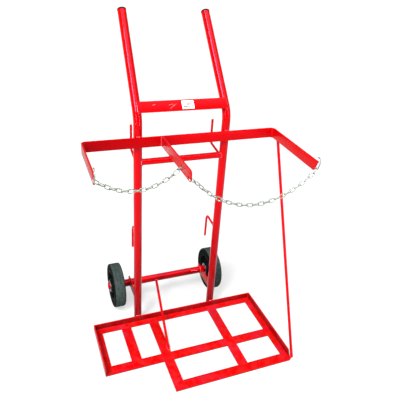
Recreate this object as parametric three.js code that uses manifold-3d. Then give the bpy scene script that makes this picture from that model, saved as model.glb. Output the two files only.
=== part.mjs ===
// A two-cylinder welding trolley, in millimetres, +Z up, -Y towards its front, +X to the right of
// a person who faces its front.
// Round uprights with bent-back handles stand behind a flat floor platform. A flat rail with two
// arms and a divider makes two cylinder bays, and a chain closes the front of each bay.
import * as THREE from 'three';
import { mergeVertices } from 'three/addons/utils/BufferGeometryUtils.js';
import Module from 'manifold-3d';

const wasm = await Module();
wasm.setup();

// ---------------------------------------------------------------- driving dimensions
const GAP = 0.3;                    // clearance between pieces that touch

const TUBE_RADIUS = 16.85;          // 33.7 mm tube: uprights and axle
const TUBE_WALL = 2.6;
const TUBE_SIDES = 24;
const UPRIGHT_X = 177;              // tube centre from the middle plane
const BEND_HEIGHT = 957;            // where the handle's line meets the upright's
const BEND_RADIUS = 85;
const HANDLE_TILT = THREE.MathUtils.degToRad(40.5);
const HANDLE_LENGTH = 432.5;          // from that meeting point to the tube's end
const HANDLE_LEAN = { left: 0.0246, right: -0.0061 };   // sideways travel along each handle
const CAP_HEAD = 6.5;
const CAP_STEM = 22;
const CAP_LIP = 0.5;                // the plug's head reaches this far past the tube's outside

const FLAT = 6;                     // thickness of the flat bars
const TOP_BAR_WIDTH = 43;
const TOP_BAR_LENGTH = 352;
const TOP_BAR_UP = 32.5;            // middle of the bar, along the handle from the bend
const LABEL_SIZE = [47, 32.5, 0.4];
const LABEL_X = 15.5;
const MID_TUBE_RADIUS = 12.7;
const MID_TUBE_WALL = 2;
const MID_TUBE_HEIGHT = 782;

const RAIL_BOTTOM = 849.5;
const RAIL_WIDTH = 40.5;
const RAIL_LEFT = -384.5;           // middle of the rail's thickness at its left corner
const RAIL_RIGHT = 382.5;           // and at its right corner
const RAIL_BEND = 15;
const LEFT_ARM_TIP_X = -387;
const LEFT_ARM_TIP_Y = -281;
const RIGHT_ARM_TIP_X = 368;
const RIGHT_ARM_TIP_Y = -366;
const RIGHT_ARM_CUT = 18;           // how far the right arm's end leans back at its lower edge
const DIVIDER_X = -89;
const DIVIDER_TIP_Y = -338;

const WHEEL_RADIUS = 101.5;         // 203 mm wheels stand on the floor with the platform
const TYRE_WIDTH = 50;
const RIM_RADIUS = 70;
const HUB_LENGTH = 54;
const HUB_RADIUS = 31;
const BUSH_RADIUS = 21;
const AXLE_Y = 141;
const AXLE_HALF = 281;
const PIN_X = 276.5;
const PIN_RADIUS = 1.7;
const WASHER_RADIUS = 27;
const WASHER_THICK = 2.5;
const WHEEL_X = { left: -243, right: 228 };   // both wheels pushed to the left of their side play
const BRACKET_HEIGHT = 40;
const BRACKET_BACK = 25;            // bracket beyond the axle's centre

const ANGLE_LEG = 32;               // 32 x 32 x 5 angle round the platform
const ANGLE_THICK = 5;
const PLATFORM_HALF = 379;
const BAR_WIDTH = 42;
const FRONT_Y = -436.5;             // front edge of the right bay
const CROSS_Y = -261;               // middle of the cross bars, and of the left bay's front bar
const LEFT_BAR_X = -242.3;
const DIVIDE_BAR_X = -116;
const RIGHT_BAR_X = 169.5;

const ROD_RADIUS = 6;               // brace rods
const HOOK_RADIUS = 5;              // hose hooks
const HOOK_TURN_IN = 4;             // each hose hook leans this far towards the middle plane
const WIRE_RADIUS = 2.3;            // chain hooks
const WIRE_FOOT_Z = { left: 869, right: 862 };
const WIRE_BEND = 6;
const CHAIN_RADIUS = 8;             // half the width of a link
const CHAIN_STANDOFF = 7;           // from a plate or wire to the middle of a chain's end
const LEFT_CHAIN_LENGTH = 311;
const RIGHT_CHAIN_LENGTH = 514;

// the origin is under the middle of the rear angle, so the model is shifted back by this much
const REAR_ANGLE_Y = -(TUBE_RADIUS + GAP);
const ORIGIN_Y = REAR_ANGLE_Y - ANGLE_LEG / 2;

// ---------------------------------------------------------------- materials
function finish(name, color, roughness, metalness) {
  return new THREE.MeshStandardMaterial({ name, color, roughness, metalness });
}

const paint = () => finish('red_gloss_paint', 0xd40a0c, 0.3, 0.0);
const zinc = () => finish('zinc_plate', 0xb9beb8, 0.35, 0.9);
const rubber = () => finish('tyre_rubber', 0x3d443d, 0.85, 0.0);
const plastic = () => finish('black_plastic', 0x111212, 0.5, 0.0);
const paper = () => finish('label_film', 0xf1f0ec, 0.45, 0.0);

// ---------------------------------------------------------------- geometry helpers
const cart = new THREE.Group();

function addMesh(name, geometry, material, parent = cart) {
  const mesh = new THREE.Mesh(geometry, material);
  mesh.name = name;
  parent.add(mesh);
  return mesh;
}

// A closed geometry as a solid that can be cut.
function toSolid(geometry) {
  const bare = geometry.clone();
  bare.deleteAttribute('normal');
  bare.deleteAttribute('uv');
  const merged = mergeVertices(bare, 1e-4);
  return new wasm.Manifold(new wasm.Mesh({
    numProp: 3,
    vertProperties: new Float32Array(merged.attributes.position.array),
    triVerts: new Uint32Array(merged.index.array),
  }));
}

function toGeometry(solid) {
  const mesh = solid.getMesh();
  const geometry = new THREE.BufferGeometry();
  geometry.setAttribute('position', new THREE.BufferAttribute(mesh.vertProperties, 3));
  geometry.setIndex(new THREE.BufferAttribute(mesh.triVerts, 1));
  geometry.computeVertexNormals();
  return geometry;
}

function cut(geometry, ...tools) {
  let solid = toSolid(geometry);
  for (const tool of tools) {
    solid = solid.subtract(toSolid(tool));
  }
  return toGeometry(solid);
}

function box(sizeX, sizeY, sizeZ, x, y, z) {
  return new THREE.BoxGeometry(sizeX, sizeY, sizeZ).translate(x, y, z);
}

function boxBetween(low, high) {
  const size = high.map((value, axis) => value - low[axis]);
  const middle = high.map((value, axis) => (value + low[axis]) / 2);
  return box(...size, ...middle);
}

// A path with straight runs and round bends. It has stations only where the bends need them.
class BentPath extends THREE.Curve {
  constructor(corners, bendRadius, stepsPerBend = 6) {
    super();
    this.points = [];
    this.tangents = [];
    const last = corners.length - 1;
    this.addStation(corners[0], corners[1].clone().sub(corners[0]).normalize());
    for (let i = 1; i < last; i += 1) {
      this.addBend(corners[i - 1], corners[i], corners[i + 1], bendRadius, stepsPerBend);
    }
    this.addStation(corners[last], corners[last].clone().sub(corners[last - 1]).normalize());
  }

  addStation(point, tangent) {
    this.points.push(point.clone());
    this.tangents.push(tangent.clone());
  }

  addBend(before, corner, after, radius, steps) {
    const into = corner.clone().sub(before).normalize();
    const out = after.clone().sub(corner).normalize();
    const angle = into.angleTo(out);
    const start = corner.clone().addScaledVector(into, -radius * Math.tan(angle / 2));
    const axis = new THREE.Vector3().crossVectors(into, out).normalize();
    const toCentre = new THREE.Vector3().crossVectors(axis, into);
    const centre = start.clone().addScaledVector(toCentre, radius);
    for (let step = 0; step <= steps; step += 1) {
      const bent = (angle * step) / steps;
      const arm = toCentre.clone().multiplyScalar(-radius).applyAxisAngle(axis, bent);
      this.addStation(centre.clone().add(arm), into.clone().applyAxisAngle(axis, bent));
    }
  }

  get steps() {
    return this.points.length - 1;
  }

  getPoint(t) {
    return this.points[Math.round(t * this.steps)].clone();
  }

  getPointAt(u) {
    return this.getPoint(u);
  }

  getTangentAt(u) {
    return this.tangents[Math.round(u * this.steps)].clone();
  }
}

function circle(radius, sides) {
  const points = [];
  for (let i = 0; i < sides; i += 1) {
    const angle = (2 * Math.PI * (i + 0.5)) / sides;
    points.push(new THREE.Vector2(radius * Math.cos(angle), radius * Math.sin(angle)));
  }
  return points;
}

function sweep(section, path) {
  return new THREE.ExtrudeGeometry(section, { steps: path.steps, extrudePath: path });
}

function sweptRod(corners, radius, bendRadius, sides = 12, bendSteps = 5) {
  const section = new THREE.Shape(circle(radius, sides));
  return sweep(section, new BentPath(corners, bendRadius, bendSteps));
}

function sweptTube(corners, radius, wall, bendRadius, sides = TUBE_SIDES, bendSteps = 8) {
  const section = new THREE.Shape(circle(radius, sides));
  section.holes.push(new THREE.Path(circle(radius - wall, sides)));
  return sweep(section, new BentPath(corners, bendRadius, bendSteps));
}

// A turned piece about the X axis. Each profile point is [distance along X, radius].
function turned(profile, segments) {
  const points = profile.map(([along, radius]) => new THREE.Vector2(radius, along));
  points.push(points[0].clone());
  return new THREE.LatheGeometry(points, segments).rotateZ(-Math.PI / 2);
}

function vector(x, y, z) {
  return new THREE.Vector3(x, y, z);
}

// ---------------------------------------------------------------- back frame
const handleDirection = vector(0, Math.sin(HANDLE_TILT), Math.cos(HANDLE_TILT));
const handleFront = vector(0, -Math.cos(HANDLE_TILT), Math.sin(HANDLE_TILT));

function alongHandle(x, distance, lean = 0) {
  return vector(x + lean * distance, 0, BEND_HEIGHT).addScaledVector(handleDirection, distance);
}

// Head and stem of a push-in plug, with the head just above the tube's end.
function makeHandleCap(name, x, lean) {
  const stem = TUBE_RADIUS - TUBE_WALL - 2 * GAP;
  const profile = [
    [0, -CAP_STEM],
    [stem - 1, -CAP_STEM],
    [stem, -CAP_STEM + 2],
    [stem, GAP],
    [TUBE_RADIUS + CAP_LIP, GAP],
    [TUBE_RADIUS + CAP_LIP, CAP_HEAD - 1.5],
    [TUBE_RADIUS - 1, CAP_HEAD],
    [0, CAP_HEAD + 0.8],
  ];
  const points = profile.map(([radius, along]) => new THREE.Vector2(radius, along));
  const cap = addMesh(name, new THREE.LatheGeometry(points, TUBE_SIDES), plastic());
  cap.position.copy(alongHandle(x, HANDLE_LENGTH, lean));
  const direction = handleDirection.clone().add(vector(lean, 0, 0)).normalize();
  cap.quaternion.setFromUnitVectors(vector(0, 1, 0), direction);
}

function makeUpright(side, x) {
  const lean = HANDLE_LEAN[side];
  const tubeEnd = alongHandle(x, HANDLE_LENGTH, lean);
  const corners = [vector(x, 0, 0), vector(x, 0, BEND_HEIGHT), tubeEnd];
  addMesh(`${side}_upright`, sweptTube(corners, TUBE_RADIUS, TUBE_WALL, BEND_RADIUS), paint());
  makeHandleCap(`${side}_handle_cap`, x, lean);
}

// The flat bar across the front of the handles, just above the bend, and the blank label on it.
function makeTopBar() {
  const tilted = new THREE.Group();
  tilted.rotation.x = -HANDLE_TILT;
  tilted.position.copy(alongHandle(0, TOP_BAR_UP));
  tilted.position.addScaledVector(handleFront, TUBE_RADIUS + GAP + FLAT / 2);
  cart.add(tilted);
  const bar = new THREE.BoxGeometry(TOP_BAR_LENGTH, FLAT, TOP_BAR_WIDTH);
  addMesh('top_cross_bar', bar, paint(), tilted);
  const [width, height, thick] = LABEL_SIZE;
  const front = -(FLAT / 2 + GAP + thick / 2);
  addMesh('blank_label', box(width, thick, height, LABEL_X, front, 0), paper(), tilted);
}

// A little more than the straight part of an upright, to cut what is welded to its side.
function uprightSleeve(x) {
  const height = BEND_HEIGHT - BEND_RADIUS;
  return new THREE.CylinderGeometry(TUBE_RADIUS + GAP, TUBE_RADIUS + GAP, height, TUBE_SIDES)
    .rotateX(Math.PI / 2)
    .translate(x, 0, height / 2);
}

function makeMidTube() {
  const ends = [vector(-UPRIGHT_X, 0, MID_TUBE_HEIGHT), vector(UPRIGHT_X, 0, MID_TUBE_HEIGHT)];
  const tube = sweptTube(ends, MID_TUBE_RADIUS, MID_TUBE_WALL, 1, 16);
  addMesh('mid_cross_tube', cut(tube, uprightSleeve(-UPRIGHT_X), uprightSleeve(UPRIGHT_X)), paint());
}

// ---------------------------------------------------------------- rail, arms and divider
const railY = -(TUBE_RADIUS + GAP + FLAT / 2);
const railTop = RAIL_BOTTOM + RAIL_WIDTH;

function makeRail() {
  const z = RAIL_BOTTOM + RAIL_WIDTH / 2;
  const corners = [
    vector(LEFT_ARM_TIP_X, LEFT_ARM_TIP_Y, z),
    vector(RAIL_LEFT, railY, z),
    vector(RAIL_RIGHT, railY, z),
    vector(RIGHT_ARM_TIP_X, RIGHT_ARM_TIP_Y, z),
  ];
  const section = new THREE.Shape([
    new THREE.Vector2(-RAIL_WIDTH / 2, -FLAT / 2),
    new THREE.Vector2(RAIL_WIDTH / 2, -FLAT / 2),
    new THREE.Vector2(RAIL_WIDTH / 2, FLAT / 2),
    new THREE.Vector2(-RAIL_WIDTH / 2, FLAT / 2),
  ]);
  const bar = sweep(section, new BentPath(corners, RAIL_BEND));
  const lean = Math.atan(RIGHT_ARM_CUT / RAIL_WIDTH);
  const reach = 60;
  const blade = new THREE.BoxGeometry(reach, reach, 2 * reach)
    .translate(0, -reach / 2, 0)
    .rotateX(lean)
    .translate(RIGHT_ARM_TIP_X, RIGHT_ARM_TIP_Y + RIGHT_ARM_CUT / 2, z);
  addMesh('retaining_rail', cut(bar, blade), paint());
}

// A side view outline in Y and Z, made into a plate of the flat bar's thickness.
function plateAlongX(outline, x) {
  const geometry = new THREE.ExtrudeGeometry(outline, {
    depth: FLAT,
    bevelEnabled: false,
    curveSegments: 6,
  });
  geometry.rotateY(Math.PI / 2).rotateX(Math.PI / 2);
  return geometry.translate(x - FLAT / 2, 0, 0);
}

const DIVIDER_NOSE = 13;            // corner radius of the divider's front end
const SLOT = { y: -251, low: 855, high: 876, radius: 5 };
const TIP_HOLE = { y: -325, z: 863, radius: 6 };

function makeDivider() {
  const back = railY - FLAT / 2 - GAP;
  const outline = new THREE.Shape();
  outline.moveTo(back, RAIL_BOTTOM);
  outline.lineTo(back, railTop);
  outline.lineTo(DIVIDER_TIP_Y + DIVIDER_NOSE, railTop);
  outline.absarc(DIVIDER_TIP_Y + DIVIDER_NOSE, railTop - DIVIDER_NOSE, DIVIDER_NOSE,
    Math.PI / 2, Math.PI, false);
  outline.lineTo(DIVIDER_TIP_Y, RAIL_BOTTOM + DIVIDER_NOSE / 2);
  outline.absarc(DIVIDER_TIP_Y + DIVIDER_NOSE / 2, RAIL_BOTTOM + DIVIDER_NOSE / 2,
    DIVIDER_NOSE / 2, Math.PI, 1.5 * Math.PI, false);
  outline.closePath();
  const slot = new THREE.Path();
  slot.absarc(SLOT.y, SLOT.high - SLOT.radius, SLOT.radius, 0, Math.PI, false);
  slot.absarc(SLOT.y, SLOT.low + SLOT.radius, SLOT.radius, Math.PI, 2 * Math.PI, false);
  slot.closePath();
  const hole = new THREE.Path(
    circle(TIP_HOLE.radius, 16).map((p) => p.add(new THREE.Vector2(TIP_HOLE.y, TIP_HOLE.z))),
  );
  outline.holes.push(slot, hole);
  addMesh('divider_arm', plateAlongX(outline, DIVIDER_X), paint());
}

// Corners of a chain hook as [distance in front of the arm's end, height above the hook's foot].
const WIRE_OUTLINE = [[GAP, 0], [14, 0], [22, 24], [19, 43], [5, 41]];

// An open C of round wire in front of an arm's end. The chain's last link drops over it.
function makeChainHook(name, x, endY, footZ) {
  const corners = WIRE_OUTLINE.map(([ahead, up]) => vector(x, endY - ahead, footZ + up));
  addMesh(name, sweptRod(corners, WIRE_RADIUS, WIRE_BEND, 8, 3), zinc());
}

// ---------------------------------------------------------------- hose hooks
// Corners of a hose hook as [Y, Z]. The first one is inside the upright, where the rod is cut back.
const UPPER_HOOK_LINE = [[5, 765], [122, 787], [122, 890]];
const LOWER_HOOK_LINE = [[5, 424], [103, 441], [106, 327]];
const HOOK_BEND = 16;

function makeHoseHook(name, uprightX, line) {
  const leaned = uprightX - Math.sign(uprightX) * HOOK_TURN_IN;
  const corners = line.map(([y, z], i) => vector(i === 0 ? uprightX : leaned, y, z));
  const rod = sweptRod(corners, HOOK_RADIUS, HOOK_BEND);
  addMesh(name, cut(rod, uprightSleeve(uprightX)), paint());
}

// ---------------------------------------------------------------- axle and wheels
function tubeAlongX(fromX, toX, radius, wall, y, z) {
  return sweptTube([vector(fromX, y, z), vector(toX, y, z)], radius, wall, 1);
}

function makeAxle() {
  const tube = tubeAlongX(-AXLE_HALF, AXLE_HALF, TUBE_RADIUS, TUBE_WALL, AXLE_Y, WHEEL_RADIUS);
  const drills = [-PIN_X, PIN_X].map((x) => (
    new THREE.CylinderGeometry(PIN_RADIUS + 0.6, PIN_RADIUS + 0.6, 60, 10)
      .rotateX(Math.PI / 2)
      .translate(x, AXLE_Y, WHEEL_RADIUS)
  ));
  addMesh('axle_tube', cut(tube, ...drills), paint());
}

function makeAxleBracket(side, x) {
  const low = WHEEL_RADIUS - BRACKET_HEIGHT / 2;
  const front = TUBE_RADIUS + GAP;
  const rear = AXLE_Y + BRACKET_BACK;
  const outline = new THREE.Shape([
    new THREE.Vector2(front, low),
    new THREE.Vector2(rear, low),
    new THREE.Vector2(rear, low + BRACKET_HEIGHT),
    new THREE.Vector2(front, low + BRACKET_HEIGHT),
  ]);
  outline.holes.push(new THREE.Path(
    circle(TUBE_RADIUS + GAP, TUBE_SIDES).map((p) => (
      p.add(new THREE.Vector2(AXLE_Y, WHEEL_RADIUS)))),
  ));
  addMesh(`${side}_axle_bracket`, plateAlongX(outline, x), paint());
}

const SHOULDER = 9;

// Bead, side wall and rounded shoulder, mirrored to the other side of the tread.
function tyreProfile() {
  const half = TYRE_WIDTH / 2;
  const side = [[-half + 2, RIM_RADIUS], [-half, RIM_RADIUS + 4]];
  for (let i = 0; i <= 3; i += 1) {
    const angle = Math.PI - (i * Math.PI) / 6;
    side.push([-half + SHOULDER * (1 + Math.cos(angle)),
      WHEEL_RADIUS - SHOULDER * (1 - Math.sin(angle))]);
  }
  const mirrored = side.map(([along, radius]) => [-along, radius]).reverse();
  return [...side, ...mirrored];
}

// Rim, web and hub boss as one moulding.
function centreProfile() {
  const rim = RIM_RADIUS - GAP;
  const rimHalf = TYRE_WIDTH / 2 - 2;
  const hubHalf = HUB_LENGTH / 2 - 1;
  const bore = BUSH_RADIUS + GAP;
  const web = 5;
  const side = [
    [rimHalf, rim],
    [rimHalf, rim - 6],
    [web + 2, rim - 10],
    [web, rim - 14],
    [web, HUB_RADIUS + 5],
    [hubHalf, HUB_RADIUS],
    [hubHalf, bore],
  ];
  const mirrored = side.map(([along, radius]) => [-along, radius]).reverse();
  return [...side, ...mirrored];
}

function ringProfile(half, inner, outer) {
  return [[-half, inner], [half, inner], [half, outer], [-half, outer]].reverse();
}

function makeSplitPin(name, x) {
  const eye = 5;
  const neck = TUBE_RADIUS + 4;
  const tail = TUBE_RADIUS + 7;
  const corners = [
    vector(0, 0, -tail),
    vector(0, 0, neck),
    vector(0, -eye, neck + eye),
    vector(0, 0, neck + 2.2 * eye),
    vector(0, eye, neck + eye),
    vector(0, 0.8 * eye, neck + 0.1 * eye),
  ];
  const pin = addMesh(name, sweptRod(corners, PIN_RADIUS, 2.2, 6, 2), zinc());
  pin.position.set(x, AXLE_Y, WHEEL_RADIUS);
}

function makeWheel(side, outward) {
  const wheel = new THREE.Group();
  wheel.position.set(WHEEL_X[side], AXLE_Y, WHEEL_RADIUS);
  cart.add(wheel);
  const slide = TUBE_RADIUS + GAP;
  const bush = ringProfile(HUB_LENGTH / 2, slide, BUSH_RADIUS);
  const washer = ringProfile(WASHER_THICK / 2, slide, WASHER_RADIUS);
  const washerStep = (HUB_LENGTH + WASHER_THICK) / 2 + GAP;
  const washerToPin = 4;
  addMesh(`${side}_tyre`, turned(tyreProfile(), 44), rubber(), wheel);
  addMesh(`${side}_wheel_centre`, turned(centreProfile(), 36), plastic(), wheel);
  addMesh(`${side}_hub_bush`, turned(bush, TUBE_SIDES), zinc(), wheel);
  addMesh(`${side}_inner_washer`, turned(washer, TUBE_SIDES), zinc(), wheel)
    .position.x = -outward * washerStep;
  addMesh(`${side}_outer_washer`, turned(washer, TUBE_SIDES), zinc(), cart)
    .position.set(outward * (PIN_X - washerToPin), AXLE_Y, WHEEL_RADIUS);
  makeSplitPin(`${side}_split_pin`, outward * PIN_X);
}

// ---------------------------------------------------------------- floor platform
// An L of angle iron from x = 0 to the length, its upstand at y = 0 and its flat leg towards -Y.
function angleIron(length) {
  const section = new THREE.Shape([
    new THREE.Vector2(0, 0),
    new THREE.Vector2(ANGLE_LEG, 0),
    new THREE.Vector2(ANGLE_LEG, ANGLE_THICK),
    new THREE.Vector2(ANGLE_THICK, ANGLE_THICK),
    new THREE.Vector2(ANGLE_THICK, ANGLE_LEG),
    new THREE.Vector2(0, ANGLE_LEG),
  ]);
  const bar = new THREE.ExtrudeGeometry(section, { depth: length, bevelEnabled: false });
  return bar.rotateX(Math.PI / 2).rotateZ(-Math.PI / 2).translate(length, 0, 0);
}

// A wedge that cuts a 45 degree mitre at a rear corner. Inward is 1 or -1, from the corner towards
// the middle along X. It takes away the side angle's share of the corner, or the rear angle's.
function mitreWedge(cornerX, inward, takesSide) {
  const reach = 80;
  const past = 5;
  const towards = takesSide ? -1 : 1;
  const cornerY = REAR_ANGLE_Y - (towards * GAP) / Math.SQRT2;
  const wedge = new THREE.Shape([
    new THREE.Vector2(cornerX - inward * past, cornerY + past),
    new THREE.Vector2(cornerX + inward * reach, cornerY - reach),
    new THREE.Vector2(cornerX + towards * inward * reach, cornerY + towards * reach),
  ]);
  return new THREE.ExtrudeGeometry(wedge, { depth: 60, bevelEnabled: false }).translate(0, 0, -10);
}

function makeRearAngle() {
  const bar = angleIron(2 * PLATFORM_HALF).translate(-PLATFORM_HALF, REAR_ANGLE_Y, 0);
  const left = mitreWedge(-PLATFORM_HALF, 1, true);
  const right = mitreWedge(PLATFORM_HALF, -1, true);
  addMesh('rear_angle', cut(bar, left, right), paint());
}

const CORNER_RADIUS = 12;
const SNIPE_START = -404;           // where the right angle's upstand starts to drop to its end

function makeSideAngles() {
  const leftLength = REAR_ANGLE_Y - (CROSS_Y - BAR_WIDTH / 2);
  const left = angleIron(leftLength)
    .rotateZ(Math.PI / 2)
    .translate(-PLATFORM_HALF, REAR_ANGLE_Y - leftLength, 0);
  addMesh('left_side_angle', cut(left, mitreWedge(-PLATFORM_HALF, 1, false)), paint());

  const rightLength = REAR_ANGLE_Y - FRONT_Y;
  const right = angleIron(rightLength)
    .rotateZ(-Math.PI / 2)
    .translate(PLATFORM_HALF, REAR_ANGLE_Y, 0);
  const drop = new THREE.ExtrudeGeometry(new THREE.Shape([
    new THREE.Vector2(SNIPE_START, ANGLE_LEG + 1),
    new THREE.Vector2(FRONT_Y - 10, ANGLE_LEG + 1),
    new THREE.Vector2(FRONT_Y - 10, ANGLE_THICK),
    new THREE.Vector2(SNIPE_START - 14, ANGLE_THICK),
  ]), { depth: 60, bevelEnabled: false })
    .rotateY(Math.PI / 2)
    .rotateX(Math.PI / 2)
    .translate(PLATFORM_HALF - 30, 0, 0);
  const rounding = new THREE.Shape();
  rounding.moveTo(PLATFORM_HALF - CORNER_RADIUS, FRONT_Y);
  rounding.absarc(PLATFORM_HALF - CORNER_RADIUS, FRONT_Y + CORNER_RADIUS, CORNER_RADIUS,
    1.5 * Math.PI, 2 * Math.PI, false);
  rounding.lineTo(PLATFORM_HALF + 5, FRONT_Y + CORNER_RADIUS);
  rounding.lineTo(PLATFORM_HALF + 5, FRONT_Y - 5);
  rounding.lineTo(PLATFORM_HALF - CORNER_RADIUS, FRONT_Y - 5);
  rounding.closePath();
  const corner = new THREE.ExtrudeGeometry(rounding, { depth: 40, bevelEnabled: false })
    .translate(0, 0, -10);
  const mitre = mitreWedge(PLATFORM_HALF, -1, false);
  addMesh('right_side_angle', cut(right, mitre, drop, corner), paint());
}

function makePlatformBars() {
  const half = BAR_WIDTH / 2;
  const rearEdge = REAR_ANGLE_Y - ANGLE_LEG - GAP;
  const crossBack = CROSS_Y + half;
  const crossFront = CROSS_Y - half;
  const frontBack = FRONT_Y + BAR_WIDTH;
  const inner = PLATFORM_HALF - ANGLE_LEG - GAP;
  const bars = {
    left_platform_bar: [LEFT_BAR_X - half, crossFront, LEFT_BAR_X + half, rearEdge],
    divide_platform_bar: [DIVIDE_BAR_X - half, FRONT_Y, DIVIDE_BAR_X + half, rearEdge],
    right_platform_bar: [RIGHT_BAR_X - half, frontBack + GAP, RIGHT_BAR_X + half, rearEdge],
    left_front_bar: [-inner, crossFront, LEFT_BAR_X - half - GAP, crossBack],
    left_front_bar_inner: [LEFT_BAR_X + half + GAP, crossFront,
      DIVIDE_BAR_X - half - GAP, crossBack],
    cross_bar_middle: [DIVIDE_BAR_X + half + GAP, crossFront, RIGHT_BAR_X - half - GAP, crossBack],
    cross_bar_right: [RIGHT_BAR_X + half + GAP, crossFront, inner, crossBack],
    right_front_bar: [DIVIDE_BAR_X + half + GAP, FRONT_Y, inner, frontBack],
  };
  for (const [name, [lowX, lowY, highX, highY]] of Object.entries(bars)) {
    addMesh(name, boxBetween([lowX, lowY, 0], [highX, highY, FLAT]), paint());
  }
}

// ---------------------------------------------------------------- brace rods
const CENTRE_FOOT = vector(-101, -232, 0);
const CENTRE_TOP_X = -52;
const SIDE_FOOT_Y = -430;
const SIDE_TOP = { y: -38, z: 880 };

function makeCentreBraceRod() {
  const foot = CENTRE_FOOT;
  const top = vector(CENTRE_TOP_X, AXLE_Y, WHEEL_RADIUS);
  const floor = box(200, 200, 40, foot.x, foot.y, FLAT + GAP - 20);
  const sleeve = new THREE.CylinderGeometry(TUBE_RADIUS + GAP, TUBE_RADIUS + GAP, 200, TUBE_SIDES)
    .rotateZ(Math.PI / 2)
    .translate(top.x, top.y, top.z);
  addMesh('centre_brace_rod', cut(sweptRod([foot, top], ROD_RADIUS, 1), floor, sleeve), paint());
}

// This rod stands outside the right angle and the right arm and is welded to both.
function makeSideBraceRod() {
  const foot = vector(PLATFORM_HALF + GAP + ROD_RADIUS, SIDE_FOOT_Y, -10);
  const top = vector(RAIL_RIGHT + FLAT / 2 + GAP + ROD_RADIUS, SIDE_TOP.y, SIDE_TOP.z);
  const floor = box(200, 200, 40, foot.x, foot.y, -20);
  addMesh('side_brace_rod', cut(sweptRod([foot, top], ROD_RADIUS, 1), floor), paint());
}

// ---------------------------------------------------------------- chains
// Points of a hanging chain of the given length between two points.
function hangingPoints(start, end, length, count) {
  const across = Math.hypot(end.x - start.x, end.y - start.y);
  const rise = end.z - start.z;
  const target = Math.sqrt(length * length - rise * rise) / across;
  let low = 1e-3;
  let high = 10;
  for (let i = 0; i < 60; i += 1) {
    const middle = (low + high) / 2;
    if (Math.sinh(middle) / middle < target) {
      low = middle;
    } else {
      high = middle;
    }
  }
  const scale = across / (2 * low);
  const shift = across / 2 - scale * Math.atanh(rise / length);
  const points = [];
  for (let i = 0; i <= count; i += 1) {
    const share = i / count;
    const drop = scale * (Math.cosh((share * across - shift) / scale) - Math.cosh(shift / scale));
    points.push(vector(
      start.x + (end.x - start.x) * share,
      start.y + (end.y - start.y) * share,
      start.z + drop,
    ));
  }
  return points;
}

function makeChain(name, start, end, length, count) {
  const path = new THREE.CatmullRomCurve3(hangingPoints(start, end, length, count));
  const section = new THREE.Shape(circle(CHAIN_RADIUS, 8));
  const tube = new THREE.ExtrudeGeometry(section, { steps: count, extrudePath: path });
  addMesh(name, tube, zinc());
}

function makeChains() {
  const face = FLAT / 2 + CHAIN_STANDOFF;
  const hookSide = WIRE_RADIUS + CHAIN_STANDOFF;
  const leftStart = vector(LEFT_ARM_TIP_X + hookSide, LEFT_ARM_TIP_Y - 6, WIRE_FOOT_Z.left - 4);
  const leftEnd = vector(DIVIDER_X - face, SLOT.y, SLOT.low + CHAIN_STANDOFF);
  makeChain('left_chain', leftStart, leftEnd, LEFT_CHAIN_LENGTH, 16);
  const rightStart = vector(DIVIDER_X + face, TIP_HOLE.y, TIP_HOLE.z - 2);
  const rightEnd = vector(RIGHT_ARM_TIP_X - hookSide, RIGHT_ARM_TIP_Y + 3, WIRE_FOOT_Z.right - 5);
  makeChain('right_chain', rightStart, rightEnd, RIGHT_CHAIN_LENGTH, 24);
}

// ---------------------------------------------------------------- the whole trolley
makeUpright('left', -UPRIGHT_X);
makeUpright('right', UPRIGHT_X);
makeTopBar();
makeMidTube();
makeRail();
makeDivider();
makeChainHook('left_chain_hook', LEFT_ARM_TIP_X, LEFT_ARM_TIP_Y, WIRE_FOOT_Z.left);
makeChainHook('right_chain_hook', RIGHT_ARM_TIP_X, RIGHT_ARM_TIP_Y + 10.5, WIRE_FOOT_Z.right);
makeHoseHook('left_upper_hose_hook', -UPRIGHT_X, UPPER_HOOK_LINE);
makeHoseHook('left_lower_hose_hook', -UPRIGHT_X, LOWER_HOOK_LINE);
makeHoseHook('right_upper_hose_hook', UPRIGHT_X, UPPER_HOOK_LINE);
makeHoseHook('right_lower_hose_hook', UPRIGHT_X, LOWER_HOOK_LINE);
makeAxle();
makeAxleBracket('left', -UPRIGHT_X);
makeAxleBracket('right', UPRIGHT_X);
makeWheel('left', -1);
makeWheel('right', 1);
makeRearAngle();
makeSideAngles();
makePlatformBars();
makeCentreBraceRod();
makeSideBraceRod();
makeChains();
cart.position.y = -ORIGIN_Y;

const group = new THREE.Group();
group.add(cart);

export default group;
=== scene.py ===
import math
import random

import bmesh
import bpy
from mathutils import Matrix, Vector


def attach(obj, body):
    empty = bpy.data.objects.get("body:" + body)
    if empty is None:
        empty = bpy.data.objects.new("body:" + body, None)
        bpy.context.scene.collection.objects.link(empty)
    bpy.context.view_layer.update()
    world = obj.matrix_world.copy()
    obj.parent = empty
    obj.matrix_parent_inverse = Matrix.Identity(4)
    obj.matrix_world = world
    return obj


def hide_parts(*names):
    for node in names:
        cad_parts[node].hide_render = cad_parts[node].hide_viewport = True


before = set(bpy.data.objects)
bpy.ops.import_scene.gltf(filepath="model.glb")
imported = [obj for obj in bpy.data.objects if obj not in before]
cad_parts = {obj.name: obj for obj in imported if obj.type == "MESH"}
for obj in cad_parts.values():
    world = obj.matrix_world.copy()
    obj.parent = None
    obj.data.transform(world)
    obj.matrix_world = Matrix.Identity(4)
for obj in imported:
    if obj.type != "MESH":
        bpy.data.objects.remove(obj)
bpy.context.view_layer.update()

TROLLEY = "trolley"         # the body that all but the wheels ride on
MM = 0.001
ORIGIN_SHIFT = 33.15        # the trolley's own Y = 0 is at the uprights, the frame's at the rear angle

# ---------------- camera, at the photograph's angle
EYE = Vector((-0.58221, -1.54504, 1.51281))
YAW = math.radians(-23.29)
PITCH = math.radians(28.24)
ROLL = math.radians(4.20)
LENS = 41.83
SHIFT = (-0.0041, -0.0042)


def show(item):
    bpy.context.scene.collection.objects.link(item)


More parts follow.
